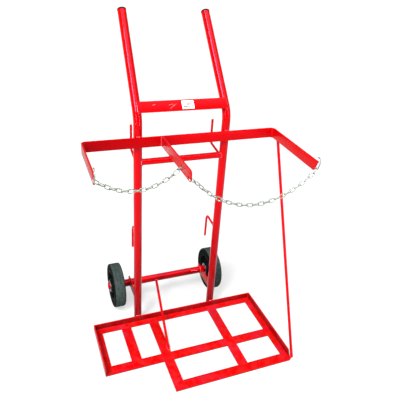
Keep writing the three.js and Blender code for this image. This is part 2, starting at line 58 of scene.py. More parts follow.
def make_camera():
    back = Vector((
        math.sin(YAW) * math.cos(PITCH),
        -math.cos(YAW) * math.cos(PITCH),
        math.sin(PITCH),
    ))
    level = Vector((math.cos(YAW), math.sin(YAW), 0))
    upright = back.cross(level)
    right = level * math.cos(ROLL) + upright * math.sin(ROLL)
    up = upright * math.cos(ROLL) - level * math.sin(ROLL)
    data = bpy.data.cameras.new("camera")
    data.lens = LENS
    data.shift_x, data.shift_y = SHIFT
    camera = bpy.data.objects.new("camera", data)
    columns = Matrix((right, up, back)).transposed().to_4x4()
    camera.matrix_world = Matrix.Translation(EYE) @ columns
    show(camera)
    bpy.context.scene.camera = camera


make_camera()

# ---------------- dimensions, in trolley millimetres
TUBE_RADIUS = 16.85
TUBE_WALL = 2.6
UPRIGHT_X = 177
BEND_HEIGHT = 957
BEND_RADIUS = 85
HANDLE_TILT = math.radians(40.5)
HANDLE_LENGTH = 432.5
HANDLE_LEAN = {"left": 0.0246, "right": -0.0061}
CAP_HEAD = 6.5
CAP_LIP = 0.5               # how far the cap stands out past the tube
CAP_PLUG_RADIUS = 13.65
TOP_BAR_UP = 32.5
TOP_BAR_HALF = 21.5         # half its width
TOP_BAR_REACH = 176         # half its length
FLAT = 6                    # thickness of every flat bar
GAP = 0.3
MID_TUBE_RADIUS = 12.7
MID_TUBE_HEIGHT = 782
RAIL_BOTTOM = 849.5
RAIL_TOP = 890
RAIL_LEFT = -384.5
RAIL_RIGHT = 382.5
RAIL_BEND = 15
RAIL_Y = -(TUBE_RADIUS + GAP + FLAT / 2)
LEFT_TIP = (-387, -281)
RIGHT_TIP = (368, -366)
RIGHT_CUT = 18
DIVIDER_X = -89
DIVIDER_TIP_Y = -338
SLOT_Y = -251
SLOT_LOW = 860              # middles of the slot's round ends
SLOT_HIGH = 871
SLOT_RADIUS = 5
HOLE = (-325, 863)
HOLE_RADIUS = 6
AXLE_Y = 141
AXLE_Z = 101.5              # also the wheel's radius
AXLE_HALF = 281
BRACKET_END = 166
BRACKET_HALF = 20
TYRE_HALF = 25
RIM_RADIUS = 70
HUB_HALF = 27
HUB_BORE = 17.3
BUSH_RADIUS = 21
WASHER_RADIUS = 27
WASHER_HALF = 1.25
PIN_X = 276.5
PIN_RADIUS = 1.7
WHEEL_X = {"left": -243, "right": 228}
REAR_Y = -(TUBE_RADIUS + GAP)
ANGLE_LEG = 32
ANGLE_THICK = 5
PLATFORM_HALF = 379
UPSTAND_END = -404          # the right angle's upstand slopes down from here
UPSTAND_FOOT = -418         # to here
CORNER_RADIUS = 12          # of its front corner
FRONT_Y = -436.5
CROSS_Y = -261
BAR = 42
BAR_X = {"left": -242.3, "divide": -116, "right": 169.5}
ROD_RADIUS = 6
HOOK_RADIUS = 5
HOOK_TURN_IN = 4            # how far the hose hooks lean towards the middle
HOSE_HOOKS = {              # (Y, Z) of the foot, the bend and the tip
    "upper": ((9, 765.8), (122, 787), (122, 890)),
    "lower": ((9, 424.7), (103, 441), (106, 327)),
}
WIRE_RADIUS = 2.3

X_AXIS = Vector((1, 0, 0))
Y_AXIS = Vector((0, 1, 0))
Z_AXIS = Vector((0, 0, 1))
ALONG_HANDLE = Vector((0, math.sin(HANDLE_TILT), math.cos(HANDLE_TILT)))
OUT_OF_HANDLE = Vector((0, -math.cos(HANDLE_TILT), math.sin(HANDLE_TILT)))


def placed(point):
    """A point in trolley millimetres as the frame's metres."""
    return Vector((point[0], point[1] + ORIGIN_SHIFT, point[2])) * MM


def handle_point(x, distance, lean=0.0):
    return Vector((x + lean * distance, 0, BEND_HEIGHT)) + ALONG_HANDLE * distance


# ---------------- surface building
def radians(degrees):
    return [math.radians(angle) for angle in degrees]


def circle(radius, count):
    return [
        (radius * math.cos(math.tau * i / count), radius * math.sin(math.tau * i / count))
        for i in range(count)
    ]


def rounded(corners, radius, steps=3):
    """A closed outline with each corner rounded. radius is one number or one for each corner."""
    count = len(corners)
    radii = radius if isinstance(radius, (list, tuple)) else [radius] * count
    outline = []
    for i, corner in enumerate(corners):
        here = Vector(corner)
        before = (Vector(corners[i - 1]) - here).normalized()
        after = (Vector(corners[(i + 1) % count]) - here).normalized()
        half = before.angle(after) / 2
        bisector = (before + after).normalized()
        centre = here + bisector * radii[i] / math.sin(half)
        start = here + before * radii[i] / math.tan(half) - centre
        end = here + after * radii[i] / math.tan(half) - centre
        turn = start.angle(end)
        for step in range(steps + 1):
            share = step / steps
            first = math.sin((1 - share) * turn) / math.sin(turn)
            second = math.sin(share * turn) / math.sin(turn)
            outline.append(tuple(centre + start * first + end * second))
    return outline


def box(low_a, low_b, high_a, high_b, radius, steps=3):
    """A rectangle's outline between two corners, with its own corners rounded."""
    corners = [(low_a, low_b), (high_a, low_b), (high_a, high_b), (low_a, high_b)]
    return rounded(corners, radius, steps)


def arc(centre, radius, start, end, steps):
    """Points on an arc, its angles in degrees."""
    points = []
    for i in range(steps + 1):
        angle = math.radians(start + (end - start) * i / steps)
        points.append((centre[0] + radius * math.cos(angle), centre[1] + radius * math.sin(angle)))
    return points


def bent_line(corners, bend, steps=14):
    """Stations (point, tangent) along straight runs joined by round bends."""
    corners = [Vector(corner) for corner in corners]
    stations = [(corners[0], (corners[1] - corners[0]).normalized())]
    for before, corner, after in zip(corners, corners[1:], corners[2:]):
        into = (corner - before).normalized()
        out = (after - corner).normalized()
        turn = into.angle(out)
        start = corner - into * bend * math.tan(turn / 2)
        axis = into.cross(out).normalized()
        centre = start + axis.cross(into) * bend
        for step in range(steps + 1):
            spin = Matrix.Rotation(turn * step / steps, 3, axis)
            stations.append((centre + spin @ (start - centre), spin @ into))
    stations.append((corners[-1], (corners[-1] - corners[-2]).normalized()))
    return stations


def carried_frames(stations):
    """Two axes across each station, carried along the line without twist."""
    tangent = stations[0][1]
    helper = X_AXIS if abs(tangent.x) < 0.8 else Y_AXIS
    side = helper.cross(tangent).normalized()
    frames = []
    for _, direction in stations:
        side = (side - direction * side.dot(direction)).normalized()
        frames.append((side, direction.cross(side)))
    return frames


def swept_rings(stations, section, up=None):
    """The section's rings. With up given, the section's second axis keeps that direction."""
    if up is None:
        frames = carried_frames(stations)
    else:
        frames = [(direction.cross(up).normalized(), up) for _, direction in stations]
    return [
        [point + side * a + other * b for a, b in section]
        for (point, _), (side, other) in zip(stations, frames)
    ]


class Shape:
    """Closed surfaces in trolley millimetres, gathered into one mesh."""

    def __init__(self):
        self.points = []
        self.faces = []

    def join_rings(self, first, second, count):
        for i in range(count):
            after = (i + 1) % count
            self.faces.append((first + i, first + after, second + after, second + i))

    def loft(self, rings, looped=False):
        start = len(self.points)
        count = len(rings[0])
        for ring in rings:
            self.points.extend(ring)
        for i in range(len(rings) - 1):
            self.join_rings(start + i * count, start + (i + 1) * count, count)
        last = start + (len(rings) - 1) * count
        if looped:
            self.join_rings(last, start, count)
        else:
            self.faces.append(tuple(reversed(range(start, start + count))))
            self.faces.append(tuple(range(last, last + count)))
        return self

    def rod(self, corners, radius, bend=1, sides=24, steps=14, end=0.8):
        """A round rod with softly broken ends."""
        stations = bent_line(corners, bend, steps)
        first, start = stations[0]
        last, finish = stations[-1]
        line = [(first, start), (first + start * end, start), *stations[1:-1]]
        line += [(last - finish * end, finish), (last, finish)]
        rings = swept_rings(line, circle(radius, sides))
        for ring, centre in ((rings[0], first), (rings[-1], last)):
            for i, point in enumerate(ring):
                ring[i] = centre + (point - centre) * (radius - end) / radius
        return self.loft(rings)

    def turned(self, profile, centre, sides):
        """A ring-shaped piece about the trolley's X. The profile is a closed outline of (x, radius)."""
        return self.loft([
            [Vector(centre) + Vector((along, -radius * b, radius * a)) for along, radius in profile]
            for a, b in circle(1, sides)
        ], looped=True)

    def domed(self, profile, centre, axis, sides=64):
        """A solid turned piece, from its first profile point to its last, both closed flat."""
        side = (X_AXIS - axis * axis.x).normalized()
        other = axis.cross(side)
        return self.loft([
            [centre + axis * along + side * a + other * b for a, b in circle(radius, sides)]
            for along, radius in profile
        ])

    def build(self, name, look, nodes=(), body=TROLLEY, sharp=32):
        mesh = bpy.data.meshes.new(name)
        mesh.from_pydata([placed(point) for point in self.points], [], self.faces)
        return finished(mesh, name, look, nodes, body, sharp)


def finished(mesh, name, look, nodes, body=TROLLEY, sharp=32):
    """Outward normals, smooth shading with sharp edges kept, material and body."""
    work = bmesh.new()
    work.from_mesh(mesh)
    bmesh.ops.recalc_face_normals(work, faces=work.faces)
    work.to_mesh(mesh)
    work.free()
    mesh.shade_smooth()
    mesh.set_sharp_from_angle(angle=math.radians(sharp))
    mesh.materials.clear()
    mesh.materials.append(look.material)
    piece = bpy.data.objects.new(name, mesh)
    show(piece)
    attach(piece, body)
    if nodes:
        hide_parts(*nodes)
    return piece


# ---------------- materials
RED = (0.355, 0.0003, 0.0003, 1)
DEEP_RED = (0.285, 0.0002, 0.0002, 1)
SCUFFED_RED = (0.41, 0.024, 0.024, 1)
PIT_RED = (0.08, 0.006, 0.006, 1)
# painted sheen: a pinkish tone for upward faces
PAINTED_SHEEN_RED = (0.31, 0.010, 0.032, 1)
# painted shade: the tone that steep faces darken to near the floor
PAINTED_LOW_SHADE_RED = (0.08, 0.0002, 0.0003, 1)
# painted shade: the tone that steep faces darken to towards the left end
PAINTED_LEFT_SHADE_RED = (0.13, 0.0003, 0.0004, 1)
GRIME = (0.17, 0.035, 0.027, 1)
PALE_RUB = (0.72, 0.15, 0.16, 1)
DARK_CHIP = (0.08, 0.02, 0.02, 1)


class Look:
    """A material being made from nodes, and the record's slot that it belongs to."""

    def __init__(self, name, slot):
        self.slot = slot
        self.material = bpy.data.materials.new(name)
        self.material.use_nodes = True
        self.tree = self.material.node_tree
        self.tree.nodes.clear()
        output = self.tree.nodes.new("ShaderNodeOutputMaterial")
        self.shader = self.tree.nodes.new("ShaderNodeBsdfPrincipled")
        self.tree.links.new(self.shader.outputs[0], output.inputs[0])
        where = self.tree.nodes.new("ShaderNodeTexCoord")
        self.place = where.outputs["Object"]
        self.facing = where.outputs["Normal"]

    def node(self, kind, settings=None, **inputs):
        made = self.tree.nodes.new("ShaderNode" + kind)
        for key, value in (settings or {}).items():
            setattr(made, key, value)
        for key, value in inputs.items():
            socket = made.inputs[key.replace("_", " ")]
            self.feed(socket, value)
        return made

    def feed(self, socket, value):
        if isinstance(value, bpy.types.NodeSocket):
            self.tree.links.new(value, socket)
        else:
            socket.default_value = value

    def stretched(self, scale):
        return self.node("Mapping", Vector=self.place, Scale=scale).outputs[0]

    def noise(self, scale, detail=4.0, rough=0.55, where=None):
        made = self.node(
            "TexNoise",
            Vector=where or self.place, Scale=scale, Detail=detail, Roughness=rough,
        )
        return made.outputs["Fac"]

    def speckle(self, scale, where=None):
        made = self.node("TexVoronoi", Vector=where or self.place, Scale=scale)
        return made.outputs["Distance"]

    def ranged(self, value, low, high, to_low=0.0, to_high=1.0):
        made = self.node("MapRange", {"clamp": True})
        for index, item in enumerate((value, low, high, to_low, to_high)):
            self.feed(made.inputs[index], item)
        return made.outputs[0]

    def maths(self, operation, first, second):
        made = self.node("Math", {"operation": operation})
        self.feed(made.inputs[0], first)
        self.feed(made.inputs[1], second)
        return made.outputs[0]

    def times(self, first, second):
        return self.maths("MULTIPLY", first, second)

    def mixed(self, share, first, second):
        made = self.node("Mix", {"data_type": "RGBA"})
        for index, item in ((0, share), (6, first), (7, second)):
            self.feed(made.inputs[index], item)
        return made.outputs[2]

    def over(self, colour, tone, share, strength):
        """The colour with a tone laid over it where share is high."""
        return self.mixed(self.times(share, strength), colour, tone)

    def part_of(self, vector, axis):
        return self.node("SeparateXYZ", Vector=vector).outputs[axis]

    def measured(self, start, way):
        """Distance from a point along a direction."""
        reach = self.node("VectorMath", {"operation": "SUBTRACT"})
        self.feed(reach.inputs[0], self.place)
        self.feed(reach.inputs[1], tuple(start))
        made = self.node("VectorMath", {"operation": "DOT_PRODUCT"})
        self.feed(made.inputs[0], reach.outputs[0])
        self.feed(made.inputs[1], tuple(way))
        return made.outputs["Value"]

    def scratch(self, start, end, half_width):
        """A broken streak on the top bar, between two points on its front."""
        way = (end - start).normalized()
        length = (end - start).length
        along = self.measured(start, way)
        aside = self.maths("ABSOLUTE", self.measured(start, way.cross(OUT_OF_HANDLE)), 0.0)
        streak = self.ranged(aside, half_width, half_width * 0.3)
        start_fade = self.ranged(along, 0, length * 0.15)
        end_fade = self.ranged(along, length, length * 0.85)
        patchy = self.ranged(self.noise(300.0, 4.0, 0.7), 0.38, 0.55, 0.15, 0.95)
        return self.times(self.times(streak, self.times(start_fade, end_fade)), patchy)

    def bump(self, value, strength, distance, normal=None):
        inputs = {"Height": value, "Strength": strength, "Distance": distance}
        if normal is not None:
            inputs["Normal"] = normal
        return self.node("Bump", **inputs).outputs[0]

    def finish(self, colour, shine, skin, **others):
        """Feed the shader's colour, roughness, bump and any other inputs."""
        inputs = {"Base_Color": colour, "Roughness": shine, "Normal": skin, **others}
        for key, value in inputs.items():
            self.feed(self.shader.inputs[key.replace("_", " ")], value)
        return self


def paint_look(name, bright, deep, roughness, peel, painted_low_shade=0.0, painted_left_shade=0.0,
               gloss=0.5, glint=(1.0, 0.045, 0.12, 1), uneven=0.16, scratches=()):
    """Red enamel: a little uneven in depth, scuffed, dusty near the floor, with orange peel,
    painted shade on steep faces low down and towards the left, and a patchy painted sheen on upward faces.
    """
    look = Look(name, "red_paint")
    clouds = look.ranged(look.noise(7.0, 3.0), 0.35, 0.7)
    colour = look.over(bright, deep, clouds, 0.45)
    scuff_noise = look.noise(60.0, 6.0, 0.7, look.stretched((1.0, 1.0, 5.0)))
    scuffs = look.ranged(scuff_noise, 0.66, 0.74)
    colour = look.over(colour, SCUFFED_RED, scuffs, 0.30)
    pits = look.ranged(look.speckle(38.0), 0.035, 0.02)
    colour = look.over(colour, PIT_RED, pits, 0.75)
    height = look.part_of(look.place, "Z")
    level = look.part_of(look.facing, "Z")
    steep = look.ranged(level, 0.75, 0.35)
    flat = look.ranged(level, 0.8, 0.95)
    # painted sheen: a pinkish tone laid in patches on upward faces
    bloom = look.times(look.ranged(look.noise(9.0, 4.0, 0.6), 0.50, 0.70), flat)
    colour = look.over(colour, PAINTED_SHEEN_RED, bloom, 0.5)
    # painted shade: steep faces darken from 0.62 m down towards the floor
    painted_shade_share = look.times(look.ranged(height, 0.62, 0.02), steep)
    colour = look.over(colour, PAINTED_LOW_SHADE_RED, painted_shade_share, painted_low_shade)
    # painted shade: steep faces darken towards the trolley's left end
    if painted_left_shade:
        leftness = look.ranged(look.part_of(look.place, "X"), 0.0, -0.36)
        colour = look.over(colour, PAINTED_LEFT_SHADE_RED, look.times(leftness, steep), painted_left_shade)
    for start, end, half_width, tone in scratches:
        colour = look.mixed(look.scratch(start, end, half_width), colour, tone)
    near_floor = look.ranged(height, 0.05, 0.0)
    grime = look.times(near_floor, look.ranged(look.noise(45.0, 5.0), 0.42, 0.72))
    colour = look.over(colour, GRIME, grime, 0.22)
    shine = look.ranged(look.noise(24.0, 5.0, 0.65), 0.3, 0.75, roughness, roughness + uneven)
    shine = look.maths("ADD", shine, look.times(scuffs, 0.22))
    shine = look.maths("ADD", shine, look.times(grime, 0.2))
    skin = look.bump(look.noise(420.0, 2.0), peel, 0.0004)
    skin = look.bump(look.noise(16.0, 2.0), 0.10, 0.0016, skin)
    skin = look.bump(pits, 0.35, -0.0004, skin)
    return look.finish(colour, shine, skin, Specular_IOR_Level=gloss, Specular_Tint=glint)


def zinc_look(name, tone, metal):
    """Dull plated steel with soft patches of white bloom."""
    look = Look(name, "zinc_plate")
    bloom = look.ranged(look.noise(120.0, 5.0, 0.65), 0.40, 0.72)
    dark = tuple(value * 0.62 for value in tone[:3]) + (1,)
    colour = look.mixed(bloom, tone, dark)
    shine = look.ranged(look.noise(260.0, 4.0), 0.3, 0.75, 0.26, 0.48)
    skin = look.bump(look.noise(700.0, 3.0), 0.12, 0.0003)
    return look.finish(colour, shine, skin, Metallic=metal)


def rubber_look():
    """Solid rubber tyre: dusty on the tread, darker and smoother on its sides."""
    look = Look("dusty_tyre_rubber", "tyre_rubber")
    beyond = look.noise(85.0, 5.0, 0.65)
    dust = look.ranged(beyond, 0.34, 0.78)
    colour = look.mixed(dust, (0.017, 0.026, 0.024, 1), (0.040, 0.055, 0.051, 1))
    marks = look.ranged(look.noise(34.0, 6.0, 0.7, look.stretched((6.0, 1.0, 1.0))), 0.60, 0.72)
    colour = look.over(colour, (0.11, 0.115, 0.10, 1), marks, 0.35)
    across = look.part_of(look.place, "X")
    from_left, from_right = (
        look.maths("ABSOLUTE", look.maths("SUBTRACT", across, middle * MM), 0.0)
        for middle in WHEEL_X.values()
    )
    face = look.ranged(look.maths("MINIMUM", from_left, from_right), 0.0205, 0.0235)
    colour = look.mixed(face, colour, (0.0018, 0.0024, 0.0022, 1))
    shine = look.ranged(beyond, 0.3, 0.8, 0.62, 0.86)
    skin = look.bump(look.noise(520.0, 3.0), 0.30, 0.0004)
    skin = look.bump(look.noise(60.0, 3.0), 0.16, 0.0014, skin)
    return look.finish(colour, shine, skin, Specular_IOR_Level=0.2, IOR=1.12)


def plastic_look(name, tone, grain):
    """Moulded black plastic with fine grain and faint dust."""
    look = Look(name, "black_plastic")
    dust = look.ranged(look.noise(70.0, 5.0, 0.65), 0.50, 0.80)
    colour = look.over(tone, (0.020, 0.021, 0.021, 1), dust, 0.25)
    shine = look.ranged(look.noise(40.0, 4.0), 0.3, 0.75, 0.36, 0.58)
    skin = look.bump(look.noise(grain, 2.0), 0.22, 0.0003)
    return look.finish(colour, shine, skin, Specular_IOR_Level=0.2, IOR=1.10)


def film_look(name, tone, stain):
    """Printed plastic film, stained in patches."""
    look = Look(name, "label_film")
    patches = look.ranged(look.noise(90.0, 4.0), 0.45, 0.75)
    colour = look.over(tone, stain, patches, 0.35)
    shine = look.ranged(look.noise(60.0, 4.0), 0.3, 0.75, 0.34, 0.52)
    skin = look.bump(look.noise(260.0, 3.0), 0.10, 0.0003)
    return look.finish(colour, shine, skin, Specular_IOR_Level=0.25)


tube_paint = paint_look(
    "red_enamel_on_tube", RED, DEEP_RED, 0.09, 0.05, painted_low_shade=0.85,
    glint=(1.0, 0.12, 0.23, 1), uneven=0.06)
flat_paint = paint_look(
    "red_enamel_on_flats", RED, DEEP_RED, 0.24, 0.16, painted_low_shade=0.75, painted_left_shade=0.62, gloss=0.38)


def on_bar_front(x, up):
    point = handle_point(x, TOP_BAR_UP + up) + OUT_OF_HANDLE * (TUBE_RADIUS + GAP + FLAT)
    return placed(point)


TOP_BAR_SCRATCHES = (       # start, end, half width, colour
    (on_bar_front(-58, -13), on_bar_front(-28, 7), 0.0016, PALE_RUB),
    (on_bar_front(-60, 2), on_bar_front(-40, 6), 0.0012, PALE_RUB),
    (on_bar_front(-37, 3), on_bar_front(-26, 7), 0.0018, DARK_CHIP),
    (on_bar_front(-122, 4), on_bar_front(-108, 8), 0.0012, PALE_RUB),
)
top_bar_paint = paint_look(
    "red_enamel_on_top_bar", RED, DEEP_RED, 0.24, 0.16, gloss=0.38, scratches=TOP_BAR_SCRATCHES)
# painted highlight: the welds' pale pink base colour stands in for glints on the beads
weld_paint_with_highlight = paint_look(
    "red_enamel_with_painted_highlight_on_welds", (0.50, 0.027, 0.043, 1), RED, 0.10, 0.20, gloss=0.8, glint=(1.0, 0.45, 0.6, 1))
# faint painted highlight: the platform welds' base colour is a little lighter and pinker than the red
flush_weld_paint_with_faint_highlight = paint_look("red_enamel_with_faint_painted_highlight_on_floor_welds", (0.39, 0.005, 0.011, 1), RED, 0.22, 0.20)
rod_paint = paint_look(
    "red_enamel_on_rods", (0.37, 0.0008, 0.0016, 1), DEEP_RED, 0.18, 0.10, painted_low_shade=0.30)
chain_zinc = zinc_look("zinc_on_chain", (0.26, 0.29, 0.25, 1), 0.7)
part_zinc = zinc_look("zinc_on_washers", (0.15, 0.17, 0.185, 1), 0.85)
rubber = rubber_look()
cap_plastic = plastic_look("satin_cap_plastic", (0.004, 0.004, 0.0045, 1), 900.0)
wheel_plastic = plastic_look("wheel_centre_plastic", (0.002, 0.0022, 0.0025, 1), 500.0)
film = film_look("white_label_film", (0.86, 0.85, 0.83, 1), (0.66, 0.62, 0.58, 1))
pink_ink = film_look("pink_label_ink", (0.50, 0.030, 0.060, 1), (0.50, 0.10, 0.12, 1))
grey_ink = film_look("grey_label_ink", (0.045, 0.045, 0.05, 1), (0.09, 0.09, 0.09, 1))

# ---------------- back frame
for side, sign in (("left", -1), ("right", 1)):
    x = sign * UPRIGHT_X
    lean = HANDLE_LEAN[side]
    tube_end = handle_point(x, HANDLE_LENGTH, lean)
    cap_way = (ALONG_HANDLE + X_AXIS * lean).normalized()
    line = [(x, 0, 0), (x, 0, BEND_HEIGHT), tube_end]
    Shape().rod(line, TUBE_RADIUS, BEND_RADIUS, sides=56, steps=30, end=0.6).build(
        f"{side}_upright_tube", tube_paint, [f"{side}_upright"])
    cap_profile = [(-3, CAP_PLUG_RADIUS), (GAP, CAP_PLUG_RADIUS), (GAP, TUBE_RADIUS - 0.1)]
    for base, radius, degrees in ((GAP + 1, 1, (-80, -40, 0)), (CAP_HEAD - 2.2, 1.4, (0, 22, 45, 65))):
        for a in radians(degrees):
            lip = TUBE_RADIUS + CAP_LIP - radius
            cap_profile.append((base + radius * math.sin(a), lip + radius * math.cos(a)))
    cap_profile += [
        (CAP_HEAD - 0.9 + 1.6 * math.sin(a), (TUBE_RADIUS - 1.6) * math.cos(a))
        for a in radians((8, 20, 35, 50, 65, 78, 86))
    ]
    Shape().domed(cap_profile, tube_end, cap_way).build(
        f"{side}_handle_end_cap", cap_plastic, [f"{side}_handle_cap"], sharp=40)

BAR_MIDDLE = handle_point(0, TOP_BAR_UP) + OUT_OF_HANDLE * (TUBE_RADIUS + GAP + FLAT / 2)


def on_top_bar(x, up, out):
    return BAR_MIDDLE + X_AXIS * x + ALONG_HANDLE * up + OUT_OF_HANDLE * out


def slab(shape, low, high, place, radius=0.9):
    """A flat bar with broken edges. place turns (x, y, z) into a point."""
    width = high[0] - low[0]
    inset = radius * 0.7
    section = box(low[1], low[2], high[1], high[2], radius)
    inner = box(low[1] + inset, low[2] + inset, high[1] - inset, high[2] - inset, radius * 0.4)
    edge = min(inset, width / 4)
    rings = [
        [place(low[0], a, b) for a, b in inner],
        [place(low[0] + edge, a, b) for a, b in section],
        [place(high[0] - edge, a, b) for a, b in section],
        [place(high[0], a, b) for a, b in inner],
    ]
    return shape.loft(rings)


top_bar_low = (-TOP_BAR_REACH, -TOP_BAR_HALF, -FLAT / 2)
top_bar_high = (TOP_BAR_REACH, TOP_BAR_HALF, FLAT / 2)
slab(Shape(), top_bar_low, top_bar_high, on_top_bar).build(
    "top_bar_plate", top_bar_paint, ["top_cross_bar"])

LABEL_BACK = FLAT / 2 + GAP
LABEL_FRONT = LABEL_BACK + 0.4
slab(Shape(), (-8, -16.25, LABEL_BACK), (39, 16.25, LABEL_FRONT), on_top_bar, 0.15).build(
    "white_label_plate", film, ["blank_label"])


def print_mark(shape, left, low, right, high):
    """A thin patch of ink on the label, between two corners on the bar's front."""
    return slab(shape, (left, low, LABEL_FRONT - 0.1), (right, high, LABEL_FRONT + 0.05), on_top_bar, 0.04)


print_mark(Shape(), 8, -1.5, 24, 5.5).build("label_mark", pink_ink)
lines = Shape()
print_mark(lines, -4, -8.9, 35, -3.4)
print_mark(lines, -4, -12.0, 23, -10.4)
lines.build("label_lines", grey_ink)

Shape().rod(
    [(-UPRIGHT_X + 9, 0, MID_TUBE_HEIGHT), (UPRIGHT_X - 9, 0, MID_TUBE_HEIGHT)],
    MID_TUBE_RADIUS, sides=44,
).build("middle_cross_tube", tube_paint, ["mid_cross_tube"])

# ---------------- rail, divider and chain hooks
rail_z = (RAIL_BOTTOM + RAIL_TOP) / 2
rail_stations = bent_line([
    (LEFT_TIP[0], LEFT_TIP[1], rail_z),
    (RAIL_LEFT, RAIL_Y, rail_z),
    (RAIL_RIGHT, RAIL_Y, rail_z),
    (RIGHT_TIP[0], RIGHT_TIP[1], rail_z),
], RAIL_BEND, 12)
rail_half = (RAIL_TOP - RAIL_BOTTOM) / 2
rail_section = box(-FLAT / 2, -rail_half, FLAT / 2, rail_half, 1.1)
rail_rings = swept_rings(rail_stations, rail_section, Z_AXIS)
arm_way = rail_stations[-1][1]
for i, point in enumerate(rail_rings[-1]):
    rail_rings[-1][i] = point - arm_way * RIGHT_CUT * (RAIL_TOP - point.z) / (2 * rail_half)


def softened(ring, inward):
    """A bar's end as two rings: its outline set back by a broken edge, and a smaller end face."""
    middle = sum(ring, Vector()) / len(ring)
    face = [middle + (point - middle) * 0.96 for point in ring]
    return [point + inward * 0.8 for point in ring], face


outline, face = softened(rail_rings[0], rail_stations[0][1])
rail_rings[:1] = [face, outline]
outline, face = softened(rail_rings[-1], -arm_way)
rail_rings[-1:] = [outline, face]
Shape().loft(rail_rings).build("retaining_rail_bar", flat_paint, ["retaining_rail"])


def build_plate(name, node, loops, x):
    """A flat bar standing across X, from closed outlines in (Y, Z). Loops after the first are holes."""
    bevel = 0.7
    data = bpy.data.curves.new(name, "CURVE")
    data.dimensions = "2D"
    data.fill_mode = "BOTH"
    data.extrude = (FLAT / 2 - bevel) * MM
    data.bevel_depth = bevel * MM
    data.bevel_resolution = 2
    data.offset = -bevel * MM
    for loop in loops:
        spline = data.splines.new("POLY")
        spline.points.add(len(loop) - 1)
        for point, (a, b) in zip(spline.points, loop):
            point.co = (a * MM, b * MM, 0, 1)
        spline.use_cyclic_u = True
    outline = bpy.data.objects.new(name + "_outline", data)
    mesh = bpy.data.meshes.new_from_object(outline)
    bpy.data.objects.remove(outline)
    bpy.data.curves.remove(data)
    work = bmesh.new()
    work.from_mesh(mesh)
    bmesh.ops.remove_doubles(work, verts=work.verts, dist=1e-6)
    for vertex in work.verts:
        a, b, c = vertex.co
        vertex.co = (x * MM + c, a + ORIGIN_SHIFT * MM, b)
    work.to_mesh(mesh)
    work.free()
    return finished(mesh, name, flat_paint, [node])


divider_outline = [
    (RAIL_Y - FLAT / 2 - GAP, RAIL_BOTTOM),
    (RAIL_Y - FLAT / 2 - GAP, RAIL_TOP),
    *arc((DIVIDER_TIP_Y + 13, RAIL_TOP - 13), 13, 90, 180, 10),
    *arc((DIVIDER_TIP_Y + 6.5, RAIL_BOTTOM + 6.5), 6.5, 180, 270, 6),
]
slot_outline = arc((SLOT_Y, SLOT_HIGH), SLOT_RADIUS, 0, 180, 10)
slot_outline += arc((SLOT_Y, SLOT_LOW), SLOT_RADIUS, 180, 360, 10)
hole_outline = arc(HOLE, HOLE_RADIUS, 0, 345, 23)
divider_loops = [divider_outline, slot_outline, hole_outline]
build_plate("divider_plate", "divider_arm", divider_loops, DIVIDER_X)

LEFT_HOOK = [(-281.3, 869), (-295, 869), (-303, 893), (-300, 912), (-286, 910)]
RIGHT_HOOK = [(-355.8, 862), (-369.5, 862), (-377.5, 886), (-374.5, 905), (-360.5, 903)]
for name, x, hook in (
    ("left_chain_hook", LEFT_TIP[0], LEFT_HOOK),
    ("right_chain_hook", RIGHT_TIP[0], RIGHT_HOOK),
):
    Shape().rod([(x, a, b) for a, b in hook], WIRE_RADIUS, 6, sides=18, steps=8).build(
        name + "_wire", chain_zinc, [name])

# ---------------- hose hooks, brackets, rods
for side, sign in (("left", -1), ("right", 1)):
    x = sign * UPRIGHT_X
    leaned = x - sign * HOOK_TURN_IN
    for level, (foot, bend, tip) in HOSE_HOOKS.items():
        corners = [(x, *foot), (leaned, *bend), (leaned, *tip)]
        Shape().rod(corners, HOOK_RADIUS, 16, sides=24, steps=14, end=1.0).build(
            f"{side}_{level}_hook_rod", rod_paint, [f"{side}_{level}_hose_hook"])
    bracket = box(TUBE_RADIUS + GAP, AXLE_Z - BRACKET_HALF, BRACKET_END, AXLE_Z + BRACKET_HALF, 1.5)
    build_plate(f"{side}_axle_bracket_plate", f"{side}_axle_bracket", [bracket], x)

CENTRE_FOOT = Vector((-101, -232, 0))
CENTRE_TOP = Vector((-52, AXLE_Y, AXLE_Z))
centre_way = (CENTRE_TOP - CENTRE_FOOT).normalized()
Shape().rod(
    [CENTRE_FOOT + centre_way * 20, CENTRE_TOP - centre_way * 10], ROD_RADIUS, sides=28,
).build("centre_brace", rod_paint, ["centre_brace_rod"])
SIDE_FOOT = Vector((PLATFORM_HALF + GAP + ROD_RADIUS, -430, -10))
SIDE_TOP = Vector((RAIL_RIGHT + FLAT / 2 + GAP + ROD_RADIUS, -38, 880))
side_way = (SIDE_TOP - SIDE_FOOT).normalized()
Shape().rod(
    [SIDE_FOOT + side_way * (12.8 / side_way.z), SIDE_TOP], ROD_RADIUS, sides=28,
).build("side_brace", rod_paint, ["side_brace_rod"])

# ---------------- axle and wheels
axle_profile = box(-AXLE_HALF, TUBE_RADIUS - TUBE_WALL, AXLE_HALF, TUBE_RADIUS, 0.7)
Shape().turned(axle_profile, (0, AXLE_Y, AXLE_Z), sides=56).build(
    "axle_pipe", tube_paint, ["axle_tube"])


def mirrored(side):
    return side + [(-along, radius) for along, radius in reversed(side)]


def tyre_outline():
    """One side of the tyre, from its bead over the shoulder to the tread, then its mirror image."""
    shoulder = 7
    side = [(2.4, RIM_RADIUS), (0.6, 72.5), (0.2, 76), (1.0, 79), (1.3, 86), (0.5, 89)]
    for angle in radians(range(0, 91, 15)):
        out = AXLE_Z - 0.1 - shoulder + shoulder * math.sin(angle)
        side.append((shoulder - shoulder * math.cos(angle), out))
    groove = [(-9.6, 0), (-9.0, 0.6), (-8.3, 1.3), (-7.3, 1.3), (-6.6, 0.6), (-6.0, 0)]
    side = [(along - TYRE_HALF, radius) for along, radius in side]
    side += [(along, AXLE_Z - depth) for along, depth in groove]
    return mirrored(side)


